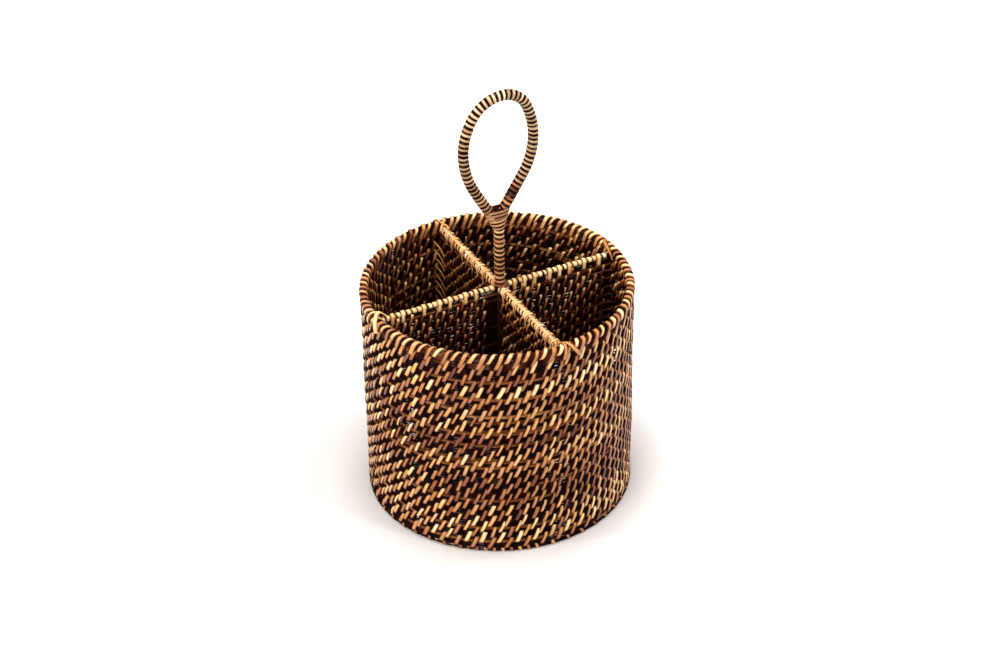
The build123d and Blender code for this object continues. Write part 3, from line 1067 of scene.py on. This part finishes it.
def neck_section(radius, share):
    """Half width and half depth of the neck, and its middle, at a share of its height."""
    wide = radius + (NECK_HALF_WIDTH - radius) * share
    deep = radius + (NECK_HALF_DEPTH - radius) * share
    return wide, deep, post_x - NECK_SHIFT * share


def neck_band(name, radius, replaced, first, last, spacing, width, lean, tone, blush):
    """A band wound round the neck, which widens from the post to the two legs of the loop."""
    low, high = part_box("neck_binding")
    height = high.z - low.z
    turns = round((last - first) * height / spacing)
    step = (last - first) * height / turns
    places, faces, turn, across = wound_band(NECK_UNIT, step, width, turns, NECK_STEPS)
    angle = np.arctan2(places[:, 2], places[:, 1])
    lift = np.hypot(places[:, 1], places[:, 2]) - NECK_UNIT
    wide, deep, middle = neck_section(radius, np.clip(first + places[:, 0] / height, 0, 1))
    x = middle + (wide + lift) * np.cos(angle)
    z = low.z + first * height + places[:, 0] + lean * (wide + lift - radius) * np.cos(angle)
    corners = np.stack([x, (deep + lift) * np.sin(angle), z], axis=1)
    flat = np.stack([turn * NECK_GRAIN, across], axis=1)
    level = tone + NECK_MOTTLE * np.sin(turn * NECK_MOTTLE_RATE)
    finished(name, corners, faces, level, flat, cane, replaced, blush)


def neck(radius):
    """Post-like turns low on the neck, broad slanting wraps above, and a dark plug between the two legs."""
    plug_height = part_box("neck_binding")[1].z - PLUG_DROP
    neck_band("neck_turns", radius, [], *NECK_TURNS)
    neck_band("neck_wraps", radius, ["neck_binding"], *NECK_WRAPS)
    path, length = straight_path((post_x - PLUG_LEFT, 0, plug_height), (post_x + PLUG_RIGHT, 0, plug_height))
    rod_piece("neck_plug", path, 0, length, PLUG_RADIUS, PLUG_TONE, [])
    neck_core(radius)


def neck_core(radius):
    """Dark filling of the neck, seen between the turns."""
    low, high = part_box("neck_binding")
    places, faces = straight_rod(NECK_CORE_SIDES, NECK_CORE_RINGS, high.z - low.z)
    share = places[:, 0] / (high.z - low.z)
    wide, deep, middle = neck_section(radius, share)
    flat = np.stack([share * NECK_CORE_GRAIN, round_shares(NECK_CORE_SIDES, NECK_CORE_RINGS)], axis=1)
    corners = np.stack([middle + places[:, 1] * wide, places[:, 2] * deep, low.z + places[:, 0]], axis=1)
    finished("neck_core", corners, faces, np.full(len(places), NECK_CORE_TONE), flat, dark)


# Rim: a rod round the top, with short and long straps in turn
RIM_ROD = 2.3 * MM
RIM_DEEPER = 0.55 * MM
RIM_SIDES = 10
RIM_RINGS = 180
RIM_GRAIN = 12
RIM_TONE = 0.36
RIM_MOTTLE = ((0.16, 7, 0), (0.12, 17, 0))
RIM_STRAPS = 49
RIM_FIRST_SHARE = 0.3
RIM_JITTER = 0.006
SHORT_SPAN = 0.3 * MM
# Straps of the rim: their tones, their widths (mean, spread and limits) and their slant
LONG_STRAPS = ((0.5, 0.78), (1.15, 0.14, 0.8, 1.4), 0.9)
SHORT_STRAPS = ((0.62, 0.92), (1.1, 0.14, 0.75, 1.4), 0.85)


def on_rim(angle, out, across, height):
    """Place on the rim: round it, out from its middle line, across along it, up from the ground."""
    turn = angle + across / wall_radius
    radius = wall_radius + out + uneven(turn, rim_height * np.ones_like(turn))
    return np.stack(np.broadcast_arrays(radius * np.cos(turn), radius * np.sin(turn), height), axis=-1)


def rim_straps(name, master, angles, foot, look, replaced):
    """One strap over the rim at each angle."""
    tones, widths, slant = look

    def frames(out, across, up):
        return on_rim(angles[:, None], out, across, foot + up)

    lash(name, master, frames, strand_tones(RIM_STRAPS, *tones), varied(RIM_STRAPS, *widths),
         np.full(RIM_STRAPS, lead * slant), replaced)


def rim():
    """The rod, and the long and the short straps over it."""
    places, faces = straight_rod(RIM_SIDES, RIM_RINGS, 1.0)
    angle = 2 * math.pi * places[:, 0] * RIM_RINGS / (RIM_RINGS + 1)
    height = rim_height - RIM_DEEPER + places[:, 2] * (RIM_ROD + RIM_DEEPER)
    corners = on_rim(angle, places[:, 1] * RIM_ROD, 0, height)
    flat = np.stack([angle * RIM_GRAIN, round_shares(RIM_SIDES, RIM_RINGS)], axis=1)
    tone = RIM_TONE + waves(angle, 0, RIM_MOTTLE)
    finished("rim_rod", corners, faces, tone, flat, dark, ["rim_hoop"])
    angles = 2 * math.pi * (np.arange(RIM_STRAPS) + RIM_FIRST_SHARE) / RIM_STRAPS
    angles += chance.normal(0, RIM_JITTER, RIM_STRAPS)
    long_master = strap_master(core / 2, rim_height - top_row, RIM_ROD)
    short_master = strap_master(RIM_ROD, SHORT_SPAN)
    rim_straps("rim_lashing_long", long_master, angles, top_row, LONG_STRAPS,
               ["rim_wrap_back_right", "rim_wrap_back_left"])
    rim_straps("rim_lashing_short", short_master, angles + math.pi / RIM_STRAPS,
               rim_height - SHORT_SPAN / 2, SHORT_STRAPS, ["rim_wrap_front_left", "rim_wrap_front_right"])


# Ties and lacing: single strips along a few listed stops, given in millimetres
SOFTEN_ROUNDS = 3
NEAR_SHARE = 0.75
STRIP_SHIFT = 3.7
RAIL_WAYS = {"right": (1, 0), "left": (-1, 0), "back": (0, 1), "front": (0, -1)}


def softened(stops):
    """Round the corners of a line of stops."""
    line = np.array(stops, dtype=float)
    for i in range(SOFTEN_ROUNDS):
        near = line[:-1] * NEAR_SHARE + line[1:] * (1 - NEAR_SHARE)
        far = line[:-1] * (1 - NEAR_SHARE) + line[1:] * NEAR_SHARE
        between = np.stack([near, far], axis=1).reshape(-1, line.shape[1])
        line = np.concatenate([line[:1], between, line[-1:]])
    return line


def strip(stops, faces_out, width):
    """A strip of cane along the stops; faces_out gives the outward direction at each stop."""
    line = softened(stops)
    way = np.gradient(line, axis=0)
    side = np.cross(way, softened(faces_out))
    side /= np.linalg.norm(side, axis=1)[:, None]
    lift = np.cross(side, way)
    lift /= np.linalg.norm(lift, axis=1)[:, None]
    across, thick = np.array(BAND_SECTION).T
    section, rings = len(across), len(line)
    places = line[:, None] + side[:, None] * across[:, None] * width
    places = places + lift[:, None] * thick[:, None] * CANE_THICK
    faces = []
    for ring in range(0, section * (rings - 1), section):
        for k in range(section):
            after = (k + 1) % section
            faces.append((ring + k, ring + after, ring + section + after, ring + section + k))
    flat = np.stack([np.repeat(np.linspace(0, 1, rings), section), np.tile(across + 0.5, rings)], axis=1)
    return places.reshape(-1, 3), end_cap(faces, section, rings), flat


def strips_piece(name, strips, tones):
    """Several strips as one piece."""
    places, faces, flats, levels = [], [], [], []
    shift = 0
    for number, ((corners, sides, flat), tone) in enumerate(zip(strips, tones)):
        places.append(corners)
        faces += [tuple(v + shift for v in face) for face in sides]
        flats.append(flat + np.array([number * STRIP_SHIFT, 0]))
        levels.append(np.full(len(corners), tone))
        shift += len(corners)
    finished(name, np.concatenate(places), faces, np.concatenate(levels), np.concatenate(flats), cane)


def in_divider(side, stops):
    """Stops given as (along, sideways, up) in a divider's own directions, put in their place."""
    x, y = RAIL_WAYS[side]
    along, across, up = np.array(stops, dtype=float).T
    return np.stack([along * x - across * y, along * y + across * x, up], axis=1)


def divider_strip(side, stops, outs, width):
    """A strip by its stops in a divider's own directions; the main divider stands off the middle."""
    middle = {"right": 0, "left": 0, "back": -post_x / MM, "front": post_x / MM}[side]
    moved = np.array(stops) + np.array([0, middle, 0])
    return strip(in_divider(side, moved) * MM, in_divider(side, outs), width * MM)


# Rim ties: stops as (out from the wall's middle line, sideways, what the height counts from, height),
# the directions in which they face, and the width of the strip
RAIL, RIM = 0, 1
TIE_TOP = 2.95 * MM
TIE_TONES = {"left": 0.92, "right": 0.6, "back": 0.7, "front": 0.66}
OVER = ([(-9, 0.3, RAIL, 0), (-4.6, 0.2, RAIL, 0.8), (-2.2, 0.1, RIM, -0.3), (0.4, 0, RIM, 0.3),
         (2.9, -0.4, RIM, -1.6), (3.0, -0.9, RIM, -5), (2.4, -1.4, RIM, -9)],
        [(0, 0, 1), (-0.4, 0, 1), (-0.4, 0, 1), (0, 0, 1), (0.8, 0, 0.6), (1, 0, 0), (1, 0, 0)], 2.4)
ARCH = ([(2.6, -6, RIM, -7.5), (3.2, -5.4, RIM, -4.6), (1.8, -3.4, RIM, 0.2), (-1.5, -0.5, RIM, 1.3),
         (-4.8, 0, RIM, -0.4), (-7.4, 0.4, RIM, -3), (-7.8, 1.4, RIM, -6)],
        [(1, 0, 0), (1, 0, 0.2), (0.5, 0, 0.9), (0, 0, 1), (-0.6, 0, 0.8), (-0.4, 0.3, 0.9),
         (-0.3, 1, 0.2)], 1.9)
DROP = ([(-3.6, -1.5, RIM, 0.2), (-1, 0.5, RIM, 1.2), (1.2, 3.2, RIM, 0.7), (3.0, 5.4, RIM, -2),
         (3.3, 6.3, RIM, -6.2), (2.7, 6.5, RIM, -9)],
        [(-0.2, 0, 1), (0, 0.2, 1), (0.4, 0.5, 0.8), (0.7, 0.7, 0.3), (0.7, 0.7, 0), (0.8, 0.6, 0)], 3.0)
CROSS = ([(-7, 2.8, RAIL, -2), (-5.6, 2, RAIL, 0.1), (-3.6, 0, RAIL, 1.1), (-1.2, -2.2, RIM, 0.2),
          (1.6, -3.4, RIM, -0.1), (2.9, -4, RIM, -4)],
         [(0, 0.6, 0.6), (0, 0, 1), (-0.4, 0, 1), (-0.2, 0, 1), (0.4, 0, 1), (1, 0, 0)], 2.2)
SLANT = ([(-6, -1, RAIL, 0.3), (-2.5, 0.5, RIM, 0), (0.5, 2.5, RIM, 0.6), (2.8, 5, RIM, -2),
          (3.2, 8, RIM, -6), (2.6, 9.5, RIM, -8.5)],
         [(0, 0, 1), (-0.3, 0, 1), (0.2, 0, 1), (0.9, 0, 0.4), (1, 0, 0), (1, 0, 0)], 3.0)
INNER = ([(-0.6, 10, RIM, 0.1), (-1.9, 7.5, RIM, -0.3), (-2.8, 3, RIM, -1), (-3.3, -1, RIM, -2),
          (-3.4, -4, RIM, -3.8), (-3.2, -5.5, RIM, -6.5)],
         [(-0.2, 0, 1), (-0.5, 0, 0.8), (-0.7, 0, 0.7), (-0.9, 0, 0.4), (-1, 0, 0.1), (-1, 0, 0)], 3.0)
# Strips of each tie; -1 lays the strip the other way across the rail
TIES = {"left": [(ARCH, 1), (DROP, 1)], "right": [(INNER, 1)],
        "back": [(CROSS, -1), (CROSS, 1)], "front": [(OVER, 1), (SLANT, 1)]}


def rim_tie(side):
    """Where a rail meets the rim: one strip along the rim, or two that pass over it."""
    levels = (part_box(f"rail_wrap_{side}")[1].z / MM, (rim_height + TIE_TOP) / MM)
    ring = wall_radius / MM
    strips = []
    for (stops, outs, width), hand in TIES[side]:
        places = [(ring + out, hand * across, levels[base] + up) for out, across, base, up in stops]
        strips.append(divider_strip(side, places, outs, width))
    strips_piece(f"rim_tie_{side}", strips, [TIE_TONES[side]] * len(strips))


# Corner lacing: stops as (in from the wall, sideways, share of the strand's drop) and the ways they face
LACING_HEIGHTS = np.arange(139, 18, -6.2)
LACING_STOPS = [(0.7, 6.5, 0), (0.9, 4.6, 0.3), (3.6, 2.75, 0.6)]
LACING_END = 2.6
LACING_OUTS = [(-1, 0, 0), (-1, 0.2, 0), (-0.5, 1, 0), (0, 1, 0)]
LACING_WIDTHS = (1.1, 1.6)
LACING_TONES = (0.1, 0.3)
# Painted shade down the corner: the aslant strands lighten with height
LACING_PAINTED_LIGHT = 0.5
LEVEL_DROPS = (0.5, 2)
LEVEL_REACHES = (12, 17)
ASLANT_DROPS = (8, 11)
ASLANT_REACH = 8.5


def corner_lacing(side):
    """Strands down both corners where a panel meets the wall: aslant, or level on the right panel."""
    strips, tones = [], []
    inside = (wall_radius - core / 2) / MM
    level = side == "right"
    for hand in (-1, 1):
        for height in LACING_HEIGHTS:
            drop = chance.uniform(*(LEVEL_DROPS if level else ASLANT_DROPS))
            reach = chance.uniform(*LEVEL_REACHES) if level else ASLANT_REACH
            stops = [(inside - out, hand * across, height - share * drop)
                     for out, across, share in LACING_STOPS + [(reach, LACING_END, 1)]]
            outs = np.array(LACING_OUTS) * (1, hand, 1)
            strips.append(divider_strip(side, stops, outs, chance.uniform(*LACING_WIDTHS)))
            # Painted shade: aslant strands darker the lower they lie in the corner.
            painted_light = 0.0 if level else LACING_PAINTED_LIGHT * height / LACING_HEIGHTS[0]
            tones.append(chance.uniform(*LACING_TONES) + painted_light)
    strips_piece(f"corner_lacing_{side}", strips, tones)


# Lashing at the post: stops as (out from the post, along, up from the rails' top)
CROSSING_STOPS = [(2.2, -5.5, -2.4), (3.0, -3.5, -0.2), (3.9, 0, 0.4), (3.0, 3.5, -0.2), (2.2, 5.5, -2.4)]
CROSSING_LEAN = 0.4
CROSSING_WIDTH = 2.0 * MM
CROSSING_TONES = [0.4, 0.62, 0.34, 0.36]


def post_lashing():
    """Straps crossing round the foot of the post, where the four rails meet."""
    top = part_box("rail_wrap_front")[1].z / MM
    x = post_x / MM
    strips = []
    for turn in range(len(CROSSING_TONES)):
        angle = math.pi / 4 + turn * math.pi / 2
        c, s = math.cos(angle), math.sin(angle)
        stops = [(x + out * c - along * s, out * s + along * c, top + up)
                 for out, along, up in CROSSING_STOPS]
        outs = [(c * CROSSING_LEAN, s * CROSSING_LEAN, 1)] * len(stops)
        strips.append(strip(np.array(stops) * MM, np.array(outs), CROSSING_WIDTH))
    strips_piece("post_lashing", strips, CROSSING_TONES)


wall_cores()
wall_lashing()
floor_coil()
for side in ("right", "left", "back", "front"):
    divider(side)
rails()
handle()
rim()
for side in RAIL_WAYS:
    rim_tie(side)
    corner_lacing(side)
post_lashing()


# Stage and lights; each light has a place, a size and a power, and all aim at the caddy
WHITE = (1, 1, 1, 1)
WORLD_LIGHT = 0.3
FLOOR_SIZE = 8
# Warm tint of the floor near the caddy: painted light bounced from it
FLOOR_COLOUR = (0.72, 0.685, 0.65, 1)
FLOOR_ROUGHNESS = 0.9
# The floor glows for camera, transmission and glossy rays only beyond these distances; the unglowing ring
# round the base is painted shade, wider on the left by the shifted middle
FLOOR_FADE = (0.1, 0.4)
FADE_MIDDLE = (-0.034, 0.0, 0.0)
LIGHT_AIM = Vector((0, 0, 0.1))
LIGHTS = {"overhead": ((-0.05, 0.0, 1.35), (0.4, 0.4), 15),
          "front_right": ((0.5, -0.85, 1.0), (0.16, 0.16), 5),
          "front_left": ((-1.1, -0.8, 0.7), (1.2, 0.9), 14),
          "left_low": ((-1.25, 0.2, 0.45), (0.13, 0.13), 6.5),
          "right_low": ((1.2, -0.3, 0.45), (0.13, 0.13), 5.5)}


def seen_by(nodes, links, *kinds):
    """1 for rays of these kinds, 0 for all others."""
    rays = nodes.new("ShaderNodeLightPath")
    seen = rays.outputs[f"Is {kinds[0]} Ray"]
    for kind in kinds[1:]:
        seen = math_node(nodes, links, "MAXIMUM", seen, rays.outputs[f"Is {kind} Ray"])
    return seen


def studio():
    """A floor that glows white away from the caddy, which leaves painted shade round its base beside the real
    shadow, and a white world that lights it only faintly.
    """
    deselect()
    bpy.ops.mesh.primitive_plane_add(size=FLOOR_SIZE, location=(0, 0, 0))
    ground = bpy.context.object
    ground.name = "studio_floor"
    material, nodes, links, shader = new_material("white_floor")
    shader.inputs["Base Color"].default_value = FLOOR_COLOUR
    shader.inputs["Roughness"].default_value = FLOOR_ROUGHNESS
    shader.inputs["Emission Color"].default_value = WHITE
    place = nodes.new("ShaderNodeTexCoord")
    away = nodes.new("ShaderNodeVectorMath")
    away.operation = "DISTANCE"
    away.inputs[1].default_value = FADE_MIDDLE
    links.new(place.outputs["Object"], away.inputs[0])
    # Painted shade round the base: no glow near the caddy.
    fade = range_node(nodes, links, away.outputs["Value"], *FLOOR_FADE)
    seen = seen_by(nodes, links, "Camera", "Transmission", "Glossy")
    links.new(math_node(nodes, links, "MULTIPLY", seen, fade), shader.inputs["Emission Strength"])
    ground.data.materials.append(material)
    world = bpy.data.worlds.new("studio_world")
    bpy.context.scene.world = world
    world.use_nodes = True
    nodes, links = world.node_tree.nodes, world.node_tree.links
    background = nodes["Background"]
    background.inputs["Color"].default_value = WHITE
    seen = seen_by(nodes, links, "Camera", "Transmission")
    strength = math_node(nodes, links, "MULTIPLY_ADD", seen, 1 - WORLD_LIGHT, WORLD_LIGHT)
    links.new(strength, background.inputs["Strength"])


def soft_light(name, place, size, power):
    """A rectangular light that faces the caddy."""
    data = bpy.data.lights.new(name, "AREA")
    data.shape = "RECTANGLE"
    data.size, data.size_y = size
    data.energy = power
    light = bpy.data.objects.new(name, data)
    bpy.context.collection.objects.link(light)
    light.location = place
    light.rotation_euler = (LIGHT_AIM - Vector(place)).to_track_quat("-Z", "Y").to_euler()


# Camera: found from the rim, wall and handle in the photograph's frame of 1000 by 667
IMAGE_WIDTH = 1000
FOCAL_PIXELS = 2267.8
SENSOR = 36.0
CAMERA_AZIMUTH = math.radians(-27.0)
CAMERA_DISTANCE = 1240.2 * MM
CAMERA_HEIGHT = 936.6 * MM
AIM_SIDE = 1.5 * MM
AIM_HEIGHT = 111.8 * MM
CAMERA_ROLL = math.radians(-0.876)


def camera():
    """The photograph's own view."""
    data = bpy.data.cameras.new("photo_camera")
    data.sensor_width = SENSOR
    data.lens = FOCAL_PIXELS / IMAGE_WIDTH * SENSOR
    eye = bpy.data.objects.new("photo_camera", data)
    bpy.context.collection.objects.link(eye)
    turn = Matrix.Rotation(CAMERA_AZIMUTH, 3, "Z")
    place = turn @ Vector((0, -CAMERA_DISTANCE, CAMERA_HEIGHT))
    aim = turn @ Vector((AIM_SIDE, 0, AIM_HEIGHT))
    eye.location = place
    look = (aim - place).to_track_quat("-Z", "Y").to_matrix() @ Matrix.Rotation(CAMERA_ROLL, 3, "Z")
    eye.rotation_euler = look.to_euler()
    bpy.context.scene.camera = eye


studio()
for name, light in LIGHTS.items():
    soft_light(name, *light)
camera()
bpy.context.scene.view_settings.view_transform = "Standard"
